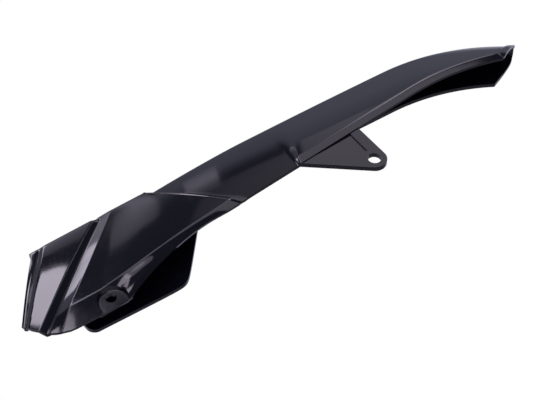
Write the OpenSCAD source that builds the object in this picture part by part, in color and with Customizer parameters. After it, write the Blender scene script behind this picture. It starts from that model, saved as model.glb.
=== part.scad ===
// Motorcycle chain guard: one moulded plastic shell that covers the upper run of the chain.
// X runs rearward, Z is up and the outer face looks toward -Y, all in millimetres.
// The origin is the centre of the front bolt hole on its seat face.

/* [Crown line] */
// Height of the crown above the front bolt
crown_height = 88.5; // [78:0.5:100]
// Radius of the long gentle rise of the crown ahead of the tail
crown_radius = 6000; // [4000:100:9000]
// Where the crown begins to fall toward the tail
tail_start = 290; // [270:1:310]
// Radius of the falling crown line over the tail
tail_radius = 172; // [160:1:220]
// Rounding of the crown edge over the chain
crown_round = 6; // [4:0.5:9]

/* [Width and wall] */
// Overall distance from the bolt seat face to the outside of the wheel side wall
seat_to_wheel_side = 30; // [26:1:38]
// Wall thickness of the moulding
wall = 2.2; // [1.6:0.1:3]
// Thickness of the bead along the bottom of the wheel side wall
bead = 3.2; // [2.4:0.1:4]
// How far the outer edge stands out from the bolt seat face
ridge_out = 3; // [2:0.25:5]
// Bulge of the outer face between the lower edge and the crown
face_bulge = 1.5; // [0:0.25:3]
// Bulge at the front of the raised panel, where a negative value makes a shallow hollow
panel_bulge = -0.3; // [-1:0.1:2]
// Distance the front flange leans in below the ridge
flange_lean = 2; // [0.5:0.25:3]

/* [Front section] */
// Foremost point of the lower outer corner, ahead of the front bolt
nose_reach = 56; // [48:1:62]
// Foremost point of the crown, ahead of the front bolt
crown_reach = 21; // [18:1:30]
// Depth of the lower edge below the front bolt
keel_depth = 8.5; // [8:0.5:12]
// Height of the side ridge above the front bolt
ridge_height = 8; // [6:0.5:12]
// Rise of the side ridge for each millimetre rearward
ridge_slope = 0.175; // [0.14:0.005:0.21]
// Distance the nose leans in toward the wheel
nose_taper = 5; // [2:0.5:8]
// Width of the slanting groove, from its front edge to the flat of the panel
groove_width = 14.5; // [9:0.5:18]
// Depth of the slanting groove below the front face
groove_depth = 2.4; // [0.8:0.1:3]
// Height of the step at the rear edge of the front section
panel_step = 4; // [2.5:0.25:5]
// Rearmost point of the front section on the lower edge
panel_end = 116; // [106:1:122]

/* [Lower edge] */
// Height of the strip's lower edge above the front bolt, at the end of the front section
strip_edge = 20.8; // [16:0.1:23]
// Rise of the lower edge for each millimetre rearward
edge_slope = 0.102; // [0.09:0.001:0.14]
// Height of the flange band behind the front section
band = 7; // [5:0.5:9]
// Start of the rear flange band
band_start = 165; // [158:1:172]

/* [Wheel side wall] */
// Bottom of the deep front part of the wall at its front corner, measured from the front bolt
deep_bottom = 2; // [-3:0.5:6]
// Bottom of the shallow part of the wall
shallow_bottom = 55; // [49:1:62]
// Length of the deep part along its bottom edge
deep_length = 74; // [60:1:84]

/* [Tail] */
// Rear end of the side ridge
ridge_end = 355; // [345:1:362]
// Rear end of the crown
crown_end = 388.5; // [382:0.5:398]
// Length of the turned lip round the tail
lip = 6.5; // [5:0.5:11]

/* [Mountings] */
// Diameter of the front bolt hole
front_bore = 7; // [6:0.1:8]
// Radius of the recess round the front bolt hole
seat_radius = 10; // [9:0.5:11]
// Distance from the bolt hole down to the centre of the recess
seat_drop = 3.5; // [2:0.5:4]
// Thickness of the front bolt seat
seat_thick = 2.5; // [2:0.25:5]
// Distance from the front bolt to the rear bolt
rear_bolt_x = 212; // [200:0.5:224]
// Height of the rear bolt above the front bolt
rear_bolt_z = 1.3; // [-4:0.1:10]
// Diameter of the rear bolt hole
rear_bore = 9.5; // [8:0.1:12]
// Radius of the round end of the bracket
bracket_end = 8.9; // [7:0.1:13]
// Thickness of the bracket plate
bracket_thick = 4; // [2.5:0.25:6]

/* [Hidden] */
$fn = 64;
wheel_side = -seat_to_wheel_side;
nose_x = -nose_reach;
flange_rows = 3;
face_rows = 8;
arc_rows = 7;
wall_rows = 4;
groove_slant = 76;
panel_slant = 44;
groove_foot = -49;
dip_length = 80;
strip_lift = 1;
lip_flare = 0.3;
end_skew = 6;
end_bow = 3;

function mix(a, b, t) = a + (b - a) * t;
function clip(t) = min(1, max(0, t));
function ease(t) = let (u = clip(t)) u * u * (3 - 2 * u);
function fall(r, d) = d <= 0 ? 0 : r - sqrt(max(0, r * r - d * d));

// Crown line: a very large arc, then the tail arc
function crown_z(x) = crown_height
    - (x < tail_start ? pow(tail_start - x, 2) / (2 * crown_radius) : fall(tail_radius, x - tail_start));

// Lower outer edge: rounded nose, level keel, rising curve, then a straight line and an arc at the tail
keel_front = -28;
keel_rear = 9;
rise_end = 100;
function line_z(x) = strip_edge + edge_slope * (x - panel_end) - fall(208, x - 275);
function edge_z(x) =
    x < keel_front ? -keel_depth + 24 * pow((keel_front - x) / 28, 2.36)
    : x < keel_rear ? -keel_depth
    : x < rise_end ? mix(line_z(rise_end), -keel_depth, pow(1 - (x - keel_rear) / (rise_end - keel_rear), 1.8))
    : line_z(x);

// Side ridge of the front section
function ridge_z(x) = ridge_height + ridge_slope * max(0, x + 4);

// Bottom of the wheel side wall: round front corner, deep part, slope up, shallow part, arc at the tail
deep_front = -17;
deep_rear = deep_front + deep_length;
corner = 7;
function floor_z(x) = deep_bottom - 0.02 * (x - deep_front - corner);
function wheel_z(x) =
    x < deep_front + corner ? floor_z(x) + fall(corner, deep_front + corner - x)
    : min(shallow_bottom, floor_z(x) + 1.25 * max(0, x - deep_rear)) - fall(165, x - 275);

// One station: x at the lower edge, at the crown and at the wheel side bottom, then how much of the
// front ridge, the raised front section, the nose taper, the groove, the rear flange and the flare it has
function station(xb, xc, xf, ridge, raised, taper, groove, flange, flare = 0) =
    [xb, xc, xf, ridge, raised, taper, groove, flange, flare];
function blend(a, b, n, last = false) = [for (i = [0:n - (last ? 0 : 1)]) a + (b - a) * i / n];

// Points across one station as [x, out, z], from the lower outer edge to the wheel side bottom
function across(s) = let (
    xb = s[0],
    xc = s[1],
    zb = edge_z(xb) + strip_lift * (1 - s[4]) * (1 - s[7]) * (1 - s[8]),
    dip = (1 - s[4]) * panel_step * pow(1 - clip((xc - 72) / dip_length), 1.5),
    cz = crown_z(xc) - crown_round - dip + lip_flare * s[8],
    co = wheel_side + crown_round,
    bo = ridge_out - flange_lean - s[5],
    plane = [mix(bo, co + crown_round, 0.1), mix(zb, cz, 0.1)],
    xg = mix(xb, xc, (ridge_z(xb) - zb) / (cz - zb)),
    front = [ridge_out - s[5] - 2 * clip((xg - 50) / 60), ridge_z(xg)],
    band_left = 1 - 0.9 * clip(2 * s[8] - 1),
    rear = [ridge_out, zb + band * band_left],
    share = 1 - s[3] - s[7],
    g = plane * share + front * s[3] + rear * s[7],
    xr = mix(mix(xb, xc, (g[1] - zb) / (cz - zb)), xb + 2 * band_left, s[7]),
    xa = xc - end_skew * s[8],
    bw = mix(bo, ridge_out, s[7]),
    d = [co - g[0], cz - g[1]],
    reach = norm(d),
    heading = atan2(d[1], d[0]) - asin(crown_round / reach),
    along = sqrt(reach * reach - crown_round * crown_round),
    touch = g + along * [cos(heading), sin(heading)],
    normal = [sin(heading), -cos(heading)],
    cut = -s[6] * normal,
    swell = mix(face_bulge, panel_bulge, s[3] * clip((panel_end - xb) / 154)) * normal,
    zw = wheel_z(s[2])
) concat(
    [for (i = [0:flange_rows - 1]) let (t = i / flange_rows)
        [mix(xb, xr, t), mix(bw, g[0], t) + cut[0], mix(zb, g[1], t) + cut[1]]],
    [for (i = [0:face_rows - 1]) let (t = i / face_rows)
            let (h = 4 * t * (1 - t))
        [mix(xr, xc, t) + end_bow * pow(s[8], 2) * sin(180 * sqrt(t)),
            mix(g[0], touch[0], t) + cut[0] + h * swell[0],
            mix(g[1], touch[1], t) + cut[1] + h * swell[1]]],
    [for (i = [0:arc_rows]) let (t = i / arc_rows, a = mix(heading - 90, 180, t), r = crown_round - s[6] * pow(1 - t, 3))
        [mix(xc, xa, t) + end_bow * pow(s[8], 2) * sin(180 * t), co + r * cos(a), cz + r * sin(a)]],
    [for (i = [1:wall_rows]) let (t = i < wall_rows ? (i / (wall_rows - 1)) * (1 - 4 / (cz - zw)) : 1)
        [mix(xa, s[2], t), wheel_side, mix(cz, zw, t)]]
);

// The inner surface: each point moved inward by the wall, square to the section
function unit(v) = v / max(norm(v), 0.001);
function flat(p) = [p[1], p[2]];
function left(v) = [-v[1], v[0]];
function inner(p) = let (n = len(p)) [for (i = [0:n - 1]) let (
    a = unit(flat(p[max(i, 1)]) - flat(p[max(i, 1) - 1])),
    b = unit(flat(p[min(i, n - 2) + 1]) - flat(p[min(i, n - 2)])),
    m = left(a) + left(b),
    k = max(1 + left(a) * left(b), 0.6),
    w = i >= n - 2 ? bead : wall
) [p[i][0], p[i][1] + w * m[0] / k, p[i][2] + w * m[1] / k]];

// All stations from the nose to the tail; the steps of the inner surface shift by w to keep the wall even
front_wall = 3.8;
knee = 6;
knee_rise = 0.55;
function groove_station(shift, risen, depth) = let (
    low = groove_foot + 0.75 * shift,
    high = groove_foot + groove_slant + 1.05 * shift
) station(low, high, high, risen, 1, 1.5 * (1 - risen), depth, 0);
function stations(w) = let (
    e = 0.25 * w,
    pc = panel_end - panel_slant,
    nose = station(nose_x, -crown_reach, deep_front, 0, 1, nose_taper, 0, 0),
    g0 = groove_station(-e, 0, 0),
    g1 = groove_station(front_wall, 0, groove_depth),
    g2 = groove_station(knee + e, knee_rise, groove_depth * (1 - knee_rise)),
    g3 = groove_station(groove_width + e, 1, 0),
    p0 = station(panel_end - w, pc - w, pc - w, 1, 1, 0, 0, 0),
    p1 = station(panel_end + 0.8 - w, pc + 0.8 - w, pc + 0.8 - w, 0, 0, 0, 0, 0),
    q0 = station(band_start - 1.5, band_start + 7, band_start, 0, 0, 0, 0, 0),
    q1 = station(band_start + 2, band_start + 35, band_start + 20, 0, 0, 0, 0, 1),
    t0 = station(ridge_end, crown_end, ridge_end - 5, 0, 0, 0, 0, 1, 0.5),
    t1 = station(ridge_end + 2.2, crown_end + lip, ridge_end + 3, 0, 0, 0, 0, 1, 1)
) concat(
    blend(nose, g0, 10),
    blend(g0, g1, 2),
    blend(g1, g2, 2),
    blend(g2, g3, 3),
    blend(g3, p0, 16),
    [p0],
    blend(p1, q0, 10),
    [for (i = [0:5]) let (s = mix(q0, q1, i / 6)) [for (k = [0:8]) k == 7 ? ease(i / 6) : s[k]]],
    blend(q1, t0, 22),
    [t0, mix(t0, t1, 0.5), t1]
);

// The shell: outer and inner surfaces joined along the four rims
module shell() {
    outside = [for (s = stations(0)) across(s)];
    inside = [for (s = stations(wall)) inner(across(s))];
    m = len(outside);
    n = len(outside[0]);
    points = [for (side = [outside, inside], row = side, p = row) [p[0], -p[1], p[2]]];
    function at(side, j, i) = (side * m + j) * n + i;
    function quad(a, b, c, d) = [[a, b, c], [a, c, d]];
    skin = [for (j = [0:m - 2], i = [0:n - 2], f = quad(
        at(0, j, i), at(0, j, i + 1), at(0, j + 1, i + 1), at(0, j + 1, i))) f];
    lining = [for (j = [0:m - 2], i = [0:n - 2], f = quad(
        at(1, j, i), at(1, j + 1, i), at(1, j + 1, i + 1), at(1, j, i + 1))) f];
    edges = [for (j = [0:m - 2], f = concat(
        quad(at(0, j, 0), at(0, j + 1, 0), at(1, j + 1, 0), at(1, j, 0)),
        quad(at(0, j, n - 1), at(1, j, n - 1), at(1, j + 1, n - 1), at(0, j + 1, n - 1)))) f];
    ends = [for (i = [0:n - 2], f = concat(
        quad(at(0, 0, i), at(1, 0, i), at(1, 0, i + 1), at(0, 0, i + 1)),
        quad(at(0, m - 1, i), at(0, m - 1, i + 1), at(1, m - 1, i + 1), at(1, m - 1, i)))) f];
    polyhedron(points, concat(skin, lining, edges, ends), convexity = 6);
}

// A flat shape in the side view, from the distance near to far out of the seat face
module slab(near, far) {
    translate([0, -near, 0]) rotate([90, 0, 0]) linear_extrude(far - near) children();
}

// Outline of the front bolt seat: a round top with straight sides down to the lower edge
module seat_outline(r, foot) {
    translate([0, -seat_drop]) circle(r);
    translate([-r, foot]) square([2 * r, -foot - seat_drop]);
}
module above_edge(gap) {
    polygon(concat([for (x = [-15:3:15]) [x, edge_z(x) + gap]], [[15, 20], [-15, 20]]));
}

// Triangular bracket with its thick rear strip, thick front rim and round eye
bracket_out = ridge_out - 0.8;
bracket_front = band_start + 1;
eye = [rear_bolt_x, rear_bolt_z];
step_x = rear_bolt_x + 0.6;
bracket_top = [rear_bolt_x + bracket_end, edge_z(rear_bolt_x + bracket_end) + band - 1];
module bracket_outline() {
    hull() {
        translate(eye) circle(bracket_end);
        translate([bracket_front, edge_z(bracket_front) + 2.5]) circle(1);
        translate([bracket_front + 4, edge_z(bracket_front) + band - 1.5]) circle(0.5);
        translate(bracket_top - [0.5, 0.5]) circle(0.5);
    }
}
module bracket() {
    difference() {
        slab(bracket_out - bracket_thick, bracket_out) bracket_outline();
        slab(bracket_out - 0.8, bracket_out + 1) difference() {
            polygon([
                [bracket_front + 13, 24],
                [bracket_front + 29, 14],
                [step_x, 8.8],
                [step_x, 36],
                [bracket_front + 10, 36]
            ]);
            translate(eye) circle(bracket_end);
        }
    }
}

module chain_guard() {
    color("#17171A") difference() {
        union() {
            difference() {
                union() {
                    shell();
                    slab(-seat_thick, ridge_out - wall + 0.3) intersection() {
                        seat_outline(seat_radius + 2, -keel_depth - 4);
                        above_edge(0.2);
                    }
                }
                slab(0, ridge_out + 12) seat_outline(seat_radius, -keel_depth - 4);
            }
            bracket();
        }
        slab(-seat_thick - 3, 3) circle(d = front_bore);
        slab(bracket_out - bracket_thick - 3, bracket_out + 3) translate(eye) circle(d = rear_bore);
    }
}

chain_guard();
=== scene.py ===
import math
import bmesh
import bpy
from mathutils import Matrix, Vector


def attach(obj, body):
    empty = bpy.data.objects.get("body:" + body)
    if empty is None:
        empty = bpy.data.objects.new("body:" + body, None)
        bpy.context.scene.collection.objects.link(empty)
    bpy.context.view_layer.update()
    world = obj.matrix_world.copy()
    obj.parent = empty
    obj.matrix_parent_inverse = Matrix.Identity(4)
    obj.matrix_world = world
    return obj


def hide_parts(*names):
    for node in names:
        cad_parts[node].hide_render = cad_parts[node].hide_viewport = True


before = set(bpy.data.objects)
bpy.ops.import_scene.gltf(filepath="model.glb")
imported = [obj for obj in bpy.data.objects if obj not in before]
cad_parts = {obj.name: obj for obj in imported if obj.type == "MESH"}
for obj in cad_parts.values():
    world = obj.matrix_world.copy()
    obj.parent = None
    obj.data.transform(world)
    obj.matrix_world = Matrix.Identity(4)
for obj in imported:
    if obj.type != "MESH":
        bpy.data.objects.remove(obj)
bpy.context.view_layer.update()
scene = bpy.context.scene
scene.view_settings.view_transform = "Standard"

# --- Shell -----------------------------------------------------------------
# The guard is one injection moulding in black gloss plastic, 2.2 mm thick. An inclined outer face
# rises from the lower edge to a rounded crown, and the wheel side wall hangs from the crown.
# Lengths are in millimetres from the front bolt: x rearward, out toward the rider's side, z up.

wall, bead, bead_height = 2.2, 3.2, 4.0
wheel_side, ridge_out = -30.0, 3.0
nose_reach, crown_reach, panel_end, band_start = 56.0, 21.0, 116.0, 165.0


def mix(a, b, t):
    return a + (b - a) * t


def clip(t):
    return min(1.0, max(0.0, t))


def ease(t):
    return clip(t) ** 2 * (3 - 2 * clip(t))


def fall(radius, distance):
    """How far an arc of this radius has dropped after this distance."""
    return 0.0 if distance <= 0 else radius - math.sqrt(max(0.0, radius ** 2 - distance ** 2))


# The crown rises in a very large arc, and falls in a small one over the tail.
crown_height, crown_radius, tail_start, tail_radius = 88.5, 6000.0, 290.0, 172.0


def crown_line(x):
    if x < tail_start:
        return crown_height - (tail_start - x) ** 2 / (2 * crown_radius)
    return crown_height - fall(tail_radius, x - tail_start)


# The lower outer edge has a rounded nose, a level keel, a rising curve, a line and a falling arc.
keel_depth, keel_front, keel_rear, rise_end = 8.5, -28.0, 9.0, 100.0
nose_run, nose_rise, nose_curve, rise_curve = 28.0, 24.0, 2.36, 1.8
strip_edge, edge_slope, edge_fall_start, edge_fall_radius = 20.8, 0.102, 275.0, 208.0


def rear_edge(x):
    line = strip_edge + edge_slope * (x - panel_end)
    return line - fall(edge_fall_radius, x - edge_fall_start)


def lower_edge(x):
    if x < keel_front:
        return -keel_depth + nose_rise * ((keel_front - x) / nose_run) ** nose_curve
    if x < keel_rear:
        return -keel_depth
    if x < rise_end:
        left = 1 - (x - keel_rear) / (rise_end - keel_rear)
        return mix(rear_edge(rise_end), -keel_depth, left ** rise_curve)
    return rear_edge(x)


# The wheel side wall ends below in a round front corner, a deep part, a slope up, a shallow part
# and an arc.
deep_front, deep_corner, deep_rear, deep_bottom, deep_slope = -17.0, 7.0, 57.0, 2.0, 0.02
shallow_bottom, knee_slope, knee_round, wheel_fall_radius = 55.0, 0.625, 4.0, 165.0


def wheel_edge(x):
    corner_end = deep_front + deep_corner
    floor = deep_bottom - deep_slope * (x - corner_end)
    if x < corner_end:
        return floor + fall(deep_corner, corner_end - x)
    past = x - deep_rear
    ramp = knee_slope * (past + math.hypot(past, knee_round))
    return min(shallow_bottom, floor + ramp) - fall(wheel_fall_radius, x - edge_fall_start)


# The front edge of the nose lies a little lower than its face: a rounded lip, then a slope.
# Both get wider toward the crown, and the step fades out as it reaches the crown's rounding.
nose_low, nose_high = Vector((-nose_reach, 15.5)), Vector((-crown_reach, 78))
nose_depth, nose_lip_round, nose_fade = 1.5, 0.45, 8.0
nose_lip_width, nose_slope_width = (2.6, 6.1), (2.4, 3.0)
widening_start, widening_run = 12.0, 55.0


def nose_step(x, z):
    """How far the front edge lies inward at this point of the side view."""
    line = (nose_high - nose_low).normalized()
    offset = Vector((x, z)) - nose_low
    away = abs(offset.x * line.y - offset.y * line.x)
    up = clip((z - widening_start) / widening_run)
    lip_width, slope_width = mix(*nose_lip_width, up), mix(*nose_slope_width, up)
    if away < lip_width:
        return nose_depth - nose_lip_round * math.sin(math.pi * away / lip_width)
    return nose_depth * clip(1 - (away - lip_width) / slope_width)


# A side ridge divides the raised front section's face from the flange below it. It climbs
# rearward from ridge_front and leans in toward its rear end.
ridge_height, ridge_slope, ridge_front = 8.0, 0.175, -4.0
ridge_lean, ridge_lean_start, ridge_lean_run = 2.0, 50.0, 60.0


def ridge_line(x):
    return ridge_height + ridge_slope * max(0, x - ridge_front)


# The flange leans in below the ridge and is slightly humped between two places along it.
flange_lean, flange_hump = 2.0, 1.1
hump_start, hump_rise, hump_end, hump_fall = -1.0, 12.0, 42.0, 14.0

# Behind the raised section the face lies lower, by a step that runs out along the crown.
crown_round, strip_lift = 6.0, 1.0
panel_step, step_start, step_run, step_curve = 4.0, 72.0, 80.0, 1.5

# A fold joins face and flange. Where there is no flange, it lies flat in the face.
flat_fold_place, fold_reach, fold_share = 0.1, 1.6, 0.3
groove_foot_share = 0.7

# The rear flange is an upright band that narrows at the tail, where a lip turns up.
band, band_skew, band_loss = 7.0, 2.0, 0.9
end_flare, end_skew, end_bow, end_hook = 0.3, 6.0, 3.0, 0.2
lip_rise, lip_foot, lip_crown = 1.2, 0.15, 0.8

flange_rows, fold_rows, face_rows, arc_rows, wall_rows = 8, 4, 18, 12, 6


def arch(t):
    return 4 * t * (1 - t)


def cross_section(s):
    """A polyline across the shell, from the lower outer edge to the foot of the wheel side wall."""
    low, top, wheel = s["low"], s["top"], s["wheel"]
    ridge, raised, taper = s["ridge"], s["raised"], s["taper"]
    groove, flange, flare, bulge = s["groove"], s["flange"], s["flare"], s["bulge"]
    plain = 1 - ridge - flange
    bow = end_bow * flare ** 2

    # The foot on the lower edge, and the centre of the crown's rounding.
    z_low = lower_edge(low) + strip_lift * (1 - raised) * (1 - flange) * (1 - flare)
    dip = (1 - raised) * panel_step * (1 - clip((top - step_start) / step_run)) ** step_curve
    z_arc = crown_line(top) - crown_round - dip + end_flare * flare
    out_arc = wheel_side + crown_round
    out_low = ridge_out - flange_lean - taper

    def x_at(z):
        return mix(low, top, (z - z_low) / (z_arc - z_low))

    # The corner between flange and face: flat in the face, on the front ridge or over the band.
    flat = Vector((mix(out_low, out_arc + crown_round, flat_fold_place),
                   mix(z_low, z_arc, flat_fold_place)))
    x_ridge = x_at(ridge_line(low))
    lean = ridge_lean * clip((x_ridge - ridge_lean_start) / ridge_lean_run)
    front = Vector((ridge_out - taper - lean, ridge_line(x_ridge)))
    band_left = 1 - band_loss * clip(2 * flare - 1)
    rear = Vector((ridge_out, z_low + band * band_left))
    corner = flat * plain + front * ridge + rear * flange
    x_corner = mix(x_at(corner.y), low + band_skew * band_left, flange)
    foot = Vector((mix(out_low, ridge_out, flange), z_low))

    # The straight face runs from the corner to where it touches the crown's rounding.
    reach = Vector((out_arc, z_arc)) - corner
    heading = math.atan2(reach.y, reach.x) - math.asin(crown_round / reach.length)
    along = math.sqrt(reach.length ** 2 - crown_round ** 2)
    touch = corner + along * Vector((math.cos(heading), math.sin(heading)))
    normal = Vector((math.sin(heading), -math.cos(heading)))
    whole = (touch - foot).length

    # The flange, and the fold that rounds the corner.
    down, rise = (foot - corner).normalized(), (touch - corner).normalized()
    height = (foot - corner).length
    fold = min(fold_reach, fold_share * height)
    below, start = corner + down * fold, corner + rise * fold
    x_below, x_start = mix(x_corner, low, fold / height), mix(x_corner, top, fold / along)
    hump = flange_hump * ridge * ease((low - hump_start) / hump_rise)
    hump *= ease((hump_end - low) / hump_fall)
    points = []
    for i in range(flange_rows):
        t = i / flange_rows
        swell = hump * math.sin(math.pi * t) * Vector((-down.y, down.x))
        points.append((mix(low, x_below, t), foot.lerp(below, t) + swell))
    for i in range(fold_rows):
        t = i / fold_rows
        x = mix(mix(x_below, x_corner, t), mix(x_corner, x_start, t), t)
        points.append((x, below.lerp(corner, t).lerp(corner.lerp(start, t), t)))
    for i, (x, p) in enumerate(points):
        points[i] = (x, p + normal * plain * bulge * arch((p - foot).length / whole))

    # The face, bulged, and turned up at the tail. The groove is sunk in all that came so far.
    for i in range(face_rows):
        t = i / face_rows
        p = start.lerp(touch, t)
        swell = bulge * (plain * arch((p - foot).length / whole) + (1 - plain) * arch(t))
        swell += lip_rise * s["lip"] * ease(t / lip_foot)
        x = mix(x_start, top, t) + bow * math.sin(math.pi * math.sqrt(t))
        points.append((x, p + normal * swell))
    foot_rows = flange_rows + fold_rows
    points = [(x, p - normal * groove * mix(groove_foot_share, 1, clip(i / foot_rows)))
              for i, (x, p) in enumerate(points)]

    # The crown's rounding and the wheel side wall.
    x_arc_end = top - end_skew * flare
    for i in range(arc_rows + 1):
        t = i / arc_rows
        a = mix(heading - math.pi / 2, math.pi, t)
        r = crown_round - groove * (1 - t) ** 3 + lip_rise * s["lip"] * (1 - ease(t / lip_crown))
        x = mix(top, x_arc_end, t) + bow * math.sin(math.pi * t)
        points.append((x, Vector((out_arc + r * math.cos(a), z_arc + r * math.sin(a)))))
    z_wheel = wheel_edge(wheel)
    bead_top = 1 - bead_height / (z_arc - z_wheel)
    for i in range(1, wall_rows + 1):
        t = bead_top * i / (wall_rows - 1) if i < wall_rows else 1
        x = mix(x_arc_end, wheel, t ** (1 + end_hook * flare))
        points.append((x, Vector((wheel_side, mix(z_arc, z_wheel, t)))))

    result = []
    for x, p in points:
        inset = nose_step(x, p.y) * clip((p.x - out_arc) / nose_fade) if raised else 0.0
        result.append(Vector((x, -(p.x - inset), p.y)) / 1000)
    return result


facet_bulge, panel_bulge, strip_bulge = 1.6, -0.3, 1.5


def station(low, top, wheel, ridge=0.0, raised=0.0, taper=0.0, groove=0.0, flange=0.0, flare=0.0,
            bulge=strip_bulge):
    """Where a section meets the lower edge, the crown and the wall's foot, and its features."""
    return dict(low=low, top=top, wheel=wheel, ridge=ridge, raised=raised, taper=taper,
                groove=groove, flange=flange, flare=flare, bulge=bulge, lip=0.0)


def between(a, b, t):
    return {key: mix(a[key], b[key], t) for key in a}


def blend(a, b, steps):
    return [between(a, b, i / steps) for i in range(steps)]


# A slanting groove has a steep front wall and a rear wall that rounds into the panel.
groove_low, groove_top, groove_width, groove_depth, groove_taper = -49.0, 27.0, 14.5, 2.4, 1.5
low_share, top_share = 0.75, 1.05
front_wall, knee, knee_rise, groove_steps = 3.8, 6.0, 0.55, 35


def groove_station(shift, risen=0.0, depth=0.0):
    top = groove_top + top_share * shift
    return station(groove_low + low_share * shift, top, top, raised=1, ridge=risen, groove=depth,
                   taper=groove_taper * (1 - risen), bulge=mix(facet_bulge, panel_bulge, risen))


# The nose, with close stations over its lip and slope, and then the groove.
nose_taper, lip_share, lip_steps, nose_steps = 5.0, 0.243, 27, 17
nose = station(-nose_reach, -crown_reach, deep_front, raised=1, taper=nose_taper,
               bulge=facet_bulge)
nose_slope_end = between(nose, groove_station(0), lip_share)
stations = blend(nose, nose_slope_end, lip_steps)
stations += blend(nose_slope_end, groove_station(0), nose_steps)
for step in range(groove_steps + 1):
    shift = groove_width * step / groove_steps
    to_knee = clip((shift - front_wall) / (knee - front_wall))
    past_knee = clip((shift - knee) / (groove_width - knee))
    risen = knee_rise * to_knee + (1 - knee_rise) * past_knee
    sunk = shift / front_wall if shift < front_wall else 1 - risen
    stations.append(groove_station(shift, risen, groove_depth * sunk))

# The panel ends in a fine bead along its slanting rear edge.
panel_low, panel_high, panel_slant, panel_steps = -37.5, 43.0, 44.0, 33
edge_width, edge_bead, bead_start, bead_steps, bead_rise = 0.9, 0.35, 0.972, 8, 5
panel_front = station(panel_low, panel_high, panel_high, ridge=1, raised=1, bulge=panel_bulge)
panel_top = panel_end - panel_slant - edge_width
panel_rear = station(panel_end - edge_width, panel_top, panel_top, ridge=1, raised=1)
beading = between(panel_front, panel_rear, bead_start)
stations += blend(panel_front, beading, panel_steps)
stations += [s | dict(groove=-edge_bead * ease(i / bead_rise))
             for i, s in enumerate(blend(beading, panel_rear, bead_steps))]

# The step down to the middle strip, the strip, and the soft valley where the rear flange begins.
step_places, step_foot, strip_steps = (0, 0.12, 0.26, 0.42, 0.58, 0.74, 0.88), 4.0, 20
strip_top = panel_end - panel_slant + edge_width
strip_front = station(panel_end + step_foot, strip_top, strip_top)
for t in step_places:
    left = 1 - ease(t)
    stations.append(between(panel_rear, strip_front, t)
                    | dict(ridge=left, raised=left, groove=-edge_bead * (1 - t)))
valley_low, valley_top, valley_wheel, valley_steps = (-1.5, 2.0), (7.0, 35.0), (0.0, 20.0), 14
valley_ends = list(zip(valley_low, valley_top, valley_wheel))
strip_rear = station(*(band_start + place for place in valley_ends[0]))
band_front = station(*(band_start + place for place in valley_ends[1]), flange=1)
stations += blend(strip_front, strip_rear, strip_steps)
stations += [s | dict(flange=ease(s["flange"]))
             for s in blend(strip_rear, band_front, valley_steps)]

# The rear flange band and the lip that turns up round the tail.
band_end, crown_end, wheel_end, band_steps = 355.0, 388.5, 350.0, 44
lip_low, lip_top, lip_wheel, lip_turn = 2.2, 6.5, 8.0, 0.55
lip_places = (0, 0.1, 0.2, 0.3, 0.4, 0.5, 0.6, 0.8, 1)
tail = station(band_end, crown_end, wheel_end, flange=1, flare=0.5)
lip_end = station(band_end + lip_low, crown_end + lip_top, wheel_end + lip_wheel, flange=1,
                  flare=1)
stations += blend(band_front, tail, band_steps)
stations += [between(tail, lip_end, t) | dict(lip=ease(t / lip_turn)) for t in lip_places]

# The first section is a chain of edges, and each further one is extruded from the last.
sheet = bmesh.new()
beaded = sheet.verts.layers.deform.verify()
row = [sheet.verts.new(p) for p in cross_section(stations[0])]
edges = [sheet.edges.new((a, b)) for a, b in zip(row, row[1:])]
for s in stations[1:]:
    place = {v.co.copy().freeze(): i for i, v in enumerate(row)}
    grown = bmesh.ops.extrude_edge_only(sheet, edges=edges)["geom"]
    row = [None] * len(row)
    for v in (g for g in grown if isinstance(g, bmesh.types.BMVert)):
        row[place[v.co.copy().freeze()]] = v
    for v, p in zip(row, cross_section(s)):
        v.co = p
    known = set(row)
    edges = [g for g in grown if isinstance(g, bmesh.types.BMEdge) and set(g.verts) <= known]

# The wall's last two rows keep the full thickness of the bead.
count = len(row)
sheet.verts.index_update()
for i, v in enumerate(sheet.verts):
    v[beaded][0] = 1.0 if i % count >= count - 2 else wall / bead

# The outer face has to look outward, so that the wall grows inward from it.
bmesh.ops.recalc_face_normals(sheet, faces=sheet.faces)
clear_of_wall = 0.024
outer = [f for f in sheet.faces if f.calc_center_median().y < clear_of_wall]
if sum(f.normal.y * f.calc_area() for f in outer) > 0:
    bmesh.ops.reverse_faces(sheet, faces=sheet.faces)
shell_mesh = bpy.data.meshes.new("guard_shell")
sheet.to_mesh(shell_mesh)
sheet.free()
shell = bpy.data.objects.new("guard_shell", shell_mesh)
scene.collection.objects.link(shell)
shell.vertex_groups.new(name="bead")


def add_modifier(piece, kind, **values):
    modifier = piece.modifiers.new(kind.lower(), kind)
    for name, value in values.items():
        setattr(modifier, name, value)


def settle(piece):
    """Applies all modifiers of a piece to its mesh."""
    graph = bpy.context.evaluated_depsgraph_get()
    finished = bpy.data.meshes.new_from_object(piece.evaluated_get(graph))
    piece.modifiers.clear()
    piece.data = finished


add_modifier(shell, "SOLIDIFY", thickness=bead / 1000, offset=-1, use_even_offset=True,
             vertex_group="bead", use_rim=True)
settle(shell)


def linear(code):
    """A colour written as sRGB hex, in the linear values that shaders use."""
    channels = [int(code[i:i + 2], 16) / 255 for i in (1, 3, 5)]
    return [c / 12.92 if c <= 0.04045 else ((c + 0.055) / 1.055) ** 2.4 for c in channels] + [1.0]


def add_node(tree, kind, settings=None, **links):
    """Adds a node. Each link gives an input, by name or place, its source socket or its value."""
    node = tree.nodes.new(kind)
    for name, value in (settings or {}).items():
        setattr(node, name, value)
    for name, source in links.items():
        key = int(name[1:]) if name[1:].isdigit() else name.replace("_", " ")
        if isinstance(source, bpy.types.NodeSocket):
            tree.links.new(source, node.inputs[key])
        else:
            node.inputs[key].default_value = source
    return node


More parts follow.
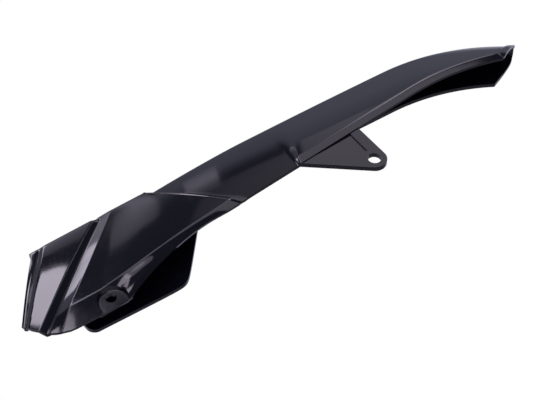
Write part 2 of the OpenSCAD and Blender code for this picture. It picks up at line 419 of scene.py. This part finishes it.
# Black ABS from a polished mould. It gives sharp, clear reflections, broken only by a faint
# orange peel from the mould and by light handling scuffs that dull the gloss here and there.
scuff_size, peel_size, peel_depth = 0.018, 0.0012, 0.0002
plastic = bpy.data.materials.new("moulded_black_abs")
plastic.use_nodes = True
tree = plastic.node_tree
tree.nodes.clear()
spot = add_node(tree, "ShaderNodeTexCoord").outputs["Object"]
scuffs = add_node(tree, "ShaderNodeTexNoise", Vector=spot, Scale=1 / scuff_size, Detail=6.0,
                  Roughness=0.7)
gloss = add_node(tree, "ShaderNodeMapRange", Value=scuffs.outputs["Fac"], From_Min=0.35,
                 From_Max=0.75, To_Min=0.06, To_Max=0.11)
peel = add_node(tree, "ShaderNodeTexNoise", Vector=spot, Scale=1 / peel_size, Detail=2.0)
relief = add_node(tree, "ShaderNodeBump", Height=peel.outputs["Fac"], Strength=0.008,
                  Distance=peel_depth)
surface = add_node(tree, "ShaderNodeBsdfPrincipled", Base_Color=linear("#0B0C13"), IOR=1.54,
                   Roughness=gloss.outputs["Result"], Normal=relief.outputs["Normal"])
add_node(tree, "ShaderNodeOutputMaterial", Surface=surface.outputs["BSDF"])


def soften(piece, width):
    """Rounds all sharp edges, as a mould does, and shades the faces smooth."""
    add_modifier(piece, "BEVEL", width=width, segments=3, limit_method="ANGLE",
                 angle_limit=math.radians(45), use_clamp_overlap=True)
    settle(piece)
    for face in piece.data.polygons:
        face.use_smooth = True
    add_modifier(piece, "WEIGHTED_NORMAL", mode="FACE_AREA_WITH_ANGLE", keep_sharp=False)
    settle(piece)


def put_in_place(piece):
    """Gives a finished piece its plastic, and lets it stand for the CAD solid."""
    piece.data.materials.clear()
    piece.data.materials.append(plastic)
    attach(piece, "root")
    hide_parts("chain_guard")


# --- Bolt seat -------------------------------------------------------------
# A flat pad stands behind the front flange, and a round-topped recess runs down to the lower edge.
# The pad, the recess and the bolt hole come out of the same mould as the shell.

seat_radius, seat_drop, seat_thick, front_bore = 10.0, 3.5, 2.5, 7.0
pad_margin, pad_front, pad_lift = 2.0, 1.1, 0.3
recess_depth, recess_inner, recess_outer = 6.0, seat_radius - 0.6, seat_radius + 2.6
past_edge, through = 4.0, 8.0


def side_prism(name, outline, near, far, far_outline=None):
    """A flat side view outline, carried from one distance out of the seat face to another."""
    bm = bmesh.new()
    base = [bm.verts.new((x / 1000, -near / 1000, z / 1000)) for x, z in outline]
    moves = {v.co.copy().freeze(): p for v, p in zip(base, far_outline or outline)}
    grown = bmesh.ops.extrude_face_region(bm, geom=[bm.faces.new(base)])["geom"]
    for v in (g for g in grown if isinstance(g, bmesh.types.BMVert)):
        x, z = moves[v.co.copy().freeze()]
        v.co = (x / 1000, -far / 1000, z / 1000)
    bmesh.ops.recalc_face_normals(bm, faces=bm.faces)
    mesh = bpy.data.meshes.new(name)
    bm.to_mesh(mesh)
    bm.free()
    prism = bpy.data.objects.new(name, mesh)
    scene.collection.objects.link(prism)
    return prism


def round_top(radius, foot, steps=40):
    """A half circle over straight sides that run down to the foot."""
    angles = [math.pi * i / steps for i in range(steps + 1)]
    arc = [(radius * math.cos(a), -seat_drop + radius * math.sin(a)) for a in angles]
    return arc + [(-radius, foot), (radius, foot)]


def ring(radius, x, z, steps=64):
    angles = [2 * math.pi * i / steps for i in range(steps)]
    return [(x + radius * math.cos(a), z + radius * math.sin(a)) for a in angles]


def cut(piece, tool, how):
    add_modifier(piece, "BOOLEAN", operation=how, object=tool, solver="EXACT")
    settle(piece)
    bpy.data.objects.remove(tool)


pad_outline = [(x, max(z, lower_edge(x) + pad_lift))
               for x, z in round_top(seat_radius + pad_margin, -keel_depth + pad_lift)]
cut(shell, side_prism("seat_pad", pad_outline, -seat_thick, pad_front), "UNION")
recess = side_prism("seat_recess", round_top(recess_inner, -keel_depth - past_edge), 0,
                    recess_depth, round_top(recess_outer, -keel_depth - past_edge))
cut(shell, recess, "DIFFERENCE")

# The recess's rim is rounded wide. It is found by its place, away from the lower edge, in metres.
rim_reach, rim_top, rim_out, rim_lift, rim_rounding = 0.014, 0.0085, -0.0006, 0.001, 0.0015
rim_angle = math.radians(50)


def on_rim(edge):
    near = all(abs(v.co.x) < rim_reach and v.co.z < rim_top and v.co.y < rim_out
               for v in edge.verts)
    return near and any(v.co.z > lower_edge(v.co.x * 1000) / 1000 + rim_lift for v in edge.verts)


seat = bmesh.new()
seat.from_mesh(shell.data)
rim = [e for e in seat.edges
       if len(e.link_faces) == 2 and e.calc_face_angle() > rim_angle and on_rim(e)]
bmesh.ops.bevel(seat, geom=rim, offset=rim_rounding, offset_type="OFFSET", segments=4,
                profile=0.5, affect="EDGES", clamp_overlap=True, material=-1)
seat.to_mesh(shell.data)
seat.free()
cut(shell, side_prism("bolt_hole", ring(front_bore / 2, 0, 0), -through, through), "DIFFERENCE")
soften(shell, width=0.0008)
put_in_place(shell)

# --- Bracket ---------------------------------------------------------------
# A triangular ear moulded onto the back of the rear flange carries the rear bolt. Its face has
# a shallow hollow that ends at a thick rear strip, and its round end has the bolt hole.

eye_x, eye_z, eye_radius, rear_bore = 212.0, 1.3, 8.9, 9.5
bracket_thick, bracket_face = 4.0, ridge_out - 0.8


def hull_loop(points):
    """The outer loop round a set of side view points."""
    bm = bmesh.new()
    for x, z in points:
        bm.verts.new((x, 0, z))
    bmesh.ops.remove_doubles(bm, verts=bm.verts, dist=0.01)
    hull = bmesh.ops.convex_hull(bm, input=bm.verts)
    inside = set(hull["geom_interior"]) | set(hull["geom_unused"])
    rim = [v.co for v in bm.verts if v not in inside]
    middle = sum(rim, Vector()) / len(rim)
    loop = sorted(((p.x, p.z) for p in rim),
                  key=lambda p: math.atan2(p[1] - middle.z, p[0] - middle.x))
    bm.free()
    return loop


# The plate is drawn round its eye, its pointed front and its two upper corners.
front_round, corner_round, corner_steps = 1.0, 0.5, 12
plate_front, plate_rear = band_start + 1, eye_x + eye_radius
front_z, upper_z = lower_edge(plate_front) + 2.5, lower_edge(plate_front) + band - 1.5
rear_x, rear_z = plate_rear - corner_round, lower_edge(plate_rear) + band - 1 - corner_round
plate_outline = hull_loop(ring(eye_radius, eye_x, eye_z)
                          + ring(front_round, plate_front, front_z, corner_steps)
                          + ring(corner_round, plate_front + 4, upper_z, corner_steps)
                          + ring(corner_round, rear_x, rear_z, corner_steps))
plate = side_prism("guard_bracket", plate_outline, bracket_face - bracket_thick, bracket_face)

# The hollow falls away gently rearward and ends in a sharp step at the rear strip. Its outline
# is given where it meets the plate's face, and once more at the cutting tool's outer end.
step_x, hollow_top, tool_reach = eye_x + 0.6, 36, 0.5
hollow_inner = [(plate_front + 12, 23.8), (plate_front + 28, 12.5), (step_x, 8.6),
                (step_x, hollow_top), (plate_front + 8, hollow_top)]
hollow_outer = [(plate_front + 15, 24.6), (plate_front + 33, 17.5), (step_x, 11),
                (step_x, hollow_top), (plate_front + 14, hollow_top)]
hollow = side_prism("hollow", hollow_inner, bracket_face + tool_reach, bracket_face, hollow_outer)
slack, hollow_depth, hollow_front, hollow_run = 0.00005, 0.0010, plate_front + 14, 25
for v in hollow.data.vertices:
    if v.co.y > -(bracket_face + 0.1) / 1000:
        v.co.y += slack + hollow_depth * clip((v.co.x * 1000 - hollow_front) / hollow_run)
cut(plate, hollow, "DIFFERENCE")
cut(plate, side_prism("eye", ring(rear_bore / 2, eye_x, eye_z), -through, through), "DIFFERENCE")
soften(plate, width=0.0006)
put_in_place(plate)

# --- Studio ----------------------------------------------------------------
# The guard is photographed lying on its wheel side, so the studio is laid out round that pose.
# The view is slanted down onto the outer face, and everything around is plain white.

across_view, lie_away, face_up = math.radians(34.5), math.radians(48.0), Vector((0, -1, 0))
right = Vector((math.cos(across_view), 0, -math.sin(across_view)))
away = Vector((math.sin(across_view), 0, math.cos(across_view)))
ahead = away * math.cos(lie_away) - face_up * math.sin(lie_away)
upward = away * math.sin(lie_away) + face_up * math.cos(lie_away)
view_centre = Vector((0.12833, 0, 0.01325))
distance, pixels_per_metre, picture_width = 0.800, 1470, 533

camera_data = bpy.data.cameras.new("camera")
camera_data.sensor_fit = "HORIZONTAL"
camera_data.sensor_width = 36
camera_data.lens = camera_data.sensor_width * pixels_per_metre * distance / picture_width
camera = bpy.data.objects.new("camera", camera_data)
axes = Matrix((right, upward, -ahead)).transposed()
camera.matrix_world = Matrix.Translation(view_centre - ahead * distance) @ axes.to_4x4()
scene.collection.objects.link(camera)
scene.camera = camera


def soft_box(name, seen_from, azimuth, elevation, reach, size, radiance, grid=None):
    """A rectangular area lamp at an azimuth, from away round to right, and a height over the table.

    A grid keeps its light within an angle of its axis, which also makes its reflection fade out.
    """
    a, e = math.radians(azimuth), math.radians(elevation)
    aim = (right * math.sin(a) + away * math.cos(a)) * math.cos(e) + face_up * math.sin(e)
    across = face_up.cross(aim).normalized()
    facing = Matrix((across, aim.cross(across), aim)).transposed().to_4x4()
    data = bpy.data.lights.new(name, "AREA")
    data.shape = "RECTANGLE"
    data.size, data.size_y = size
    data.color = linear("#F6EDFF")[:3]
    data.energy = radiance * math.pi * size[0] * size[1]
    if grid:
        data.spread = 2 * math.radians(grid)
        data.energy *= 1 - math.radians(grid) / math.tan(math.radians(grid))
    lamp = bpy.data.objects.new(name, data)
    lamp.matrix_world = Matrix.Translation(seen_from + aim * reach) @ facing
    lamp.visible_camera = False
    scene.collection.objects.link(lamp)


# Each lamp is set where its reflection shows at one place on the guard. The columns are its name,
# that place, azimuth, elevation, distance, size, radiance and, for some, the angle of its grid.
at_nose, at_middle = Vector((-0.02, 0, 0.03)), Vector((0.14, 0, 0.03))
at_groove, at_flange = Vector((-0.003, 0.007, 0.036)), Vector((0.017, -0.003, 0.008))
at_panel, at_strip = Vector((0.045, 0.012, 0.062)), Vector((0.104, 0.010, 0.059))
at_valley, at_band = Vector((0.204, -0.001, 0.042)), Vector((0.20, 0, 0.04))
at_tail, left_of_middle = Vector((0.30, 0, 0.05)), at_middle - right * 0.19
for lamp in (
    # The bright shapes on the nose, the groove's rear wall and the front flange
    ("side_soft_box", at_nose, -28.2, 32.2, 0.6, (0.12, 0.26), 6.3),
    ("groove_glow", at_groove, -31.5, 3, 0.4, (0.077, 0.098), 3.4),
    ("side_high_box", at_nose, -38, 52, 0.6, (0.13, 0.17), 4.8),
    ("flange_glow", at_flange, -19.5, 57.5, 1.5, (0.14, 0.56), 3.6),
    # The grey sheen of the long faces
    ("top_soft_box", at_middle, -1, 47, 1.6, (0.92, 0.46), 1.1),
    ("back_strip", at_middle, -2, 34, 1.6, (0.75, 0.14), 1.8),
    ("back_fill", at_middle, -1, 24, 1.6, (0.90, 0.42), 0.50, 20),
    # Soft patches on the panel, the strip, the valley and the ridge
    ("panel_glow", at_panel, -25.5, 8, 0.6, (0.17, 0.17), 1.0, 13),
    ("strip_glow", at_strip, -16, 12, 0.25, (0.035, 0.06), 0.8, 6),
    ("rear_low_glow", at_valley, -6.5, 16, 0.5, (0.12, 0.10), 0.7, 11),
    ("ridge_glow", at_nose, -17, 41, 0.9, (0.22, 0.12), 1.2),
    # Light from above and in front, and lines along the rear edges
    ("overhead_box", left_of_middle, 180, 83, 1.0, (0.73, 0.90), 4.5),
    ("rear_edge_glow", at_tail, 5, 24, 0.8, (0.20, 0.34), 1.3),
    ("band_edge_glow", at_band, 3, 26, 0.6, (0.12, 0.22), 1.3),
    ("front_fill", at_middle, 180, 35, 1.4, (0.80, 0.40), 2.0),
):
    soft_box(*lamp)

# The room is dark overhead and grey lower down, with a paler table. The camera sees plain white.
world = bpy.data.worlds.new("studio")
scene.world = world
world.use_nodes = True
tree = world.node_tree
tree.nodes.clear()
direction = add_node(tree, "ShaderNodeTexCoord").outputs["Generated"]
height = add_node(tree, "ShaderNodeVectorMath", dict(operation="DOT_PRODUCT"), _0=direction,
                  _1=face_up).outputs["Value"]
grey = add_node(tree, "ShaderNodeMapRange", Value=height, From_Min=-0.35, From_Max=0.0,
                To_Min=0.20, To_Max=0.42)
room = add_node(tree, "ShaderNodeMapRange", dict(interpolation_type="SMOOTHSTEP"), Value=height,
                From_Min=0.14, From_Max=0.26, To_Min=grey.outputs["Result"], To_Max=0.08)
table = add_node(tree, "ShaderNodeMapRange", dict(interpolation_type="SMOOTHSTEP"), Value=height,
                 From_Min=-0.55, From_Max=-0.30, To_Min=0.35, To_Max=0.0)
around = add_node(tree, "ShaderNodeMath", dict(operation="ADD"), _0=room.outputs["Result"],
                  _1=table.outputs["Result"])
camera_ray = add_node(tree, "ShaderNodeLightPath").outputs["Is Camera Ray"]
level = add_node(tree, "ShaderNodeMix", dict(data_type="FLOAT"), _0=camera_ray,
                 _2=around.outputs["Value"], _3=1.0)
tint = add_node(tree, "ShaderNodeMix", dict(data_type="RGBA"), _0=camera_ray,
                _6=linear("#E4E4FF"), _7=linear("#FFFFFF"))
background = add_node(tree, "ShaderNodeBackground", Color=tint.outputs[2],
                      Strength=level.outputs[0])
add_node(tree, "ShaderNodeOutputWorld", Surface=background.outputs["Background"])

# A plain white floor lies well below the guard, which the photograph shows without its shadow.
half_width, floor_centre = 4, (0.17, 0, -1.2)
floor_mesh = bpy.data.meshes.new("studio_floor")
ground = bmesh.new()
bmesh.ops.create_grid(ground, x_segments=1, y_segments=1, size=half_width)
bmesh.ops.translate(ground, verts=ground.verts, vec=floor_centre)
ground.to_mesh(floor_mesh)
ground.free()
floor = bpy.data.objects.new("studio_floor", floor_mesh)
scene.collection.objects.link(floor)
paper = bpy.data.materials.new("white_paper")
paper.use_nodes = True
tree = paper.node_tree
tree.nodes.clear()
camera_ray = add_node(tree, "ShaderNodeLightPath").outputs["Is Camera Ray"]
matt = add_node(tree, "ShaderNodeBsdfDiffuse", Color=linear("#E8E8E8"))
white = add_node(tree, "ShaderNodeEmission", Color=linear("#FFFFFF"), Strength=1.0)
blended = add_node(tree, "ShaderNodeMixShader", Fac=camera_ray, _1=matt.outputs["BSDF"],
                   _2=white.outputs["Emission"])
add_node(tree, "ShaderNodeOutputMaterial", Surface=blended.outputs["Shader"])
floor_mesh.materials.append(paper)
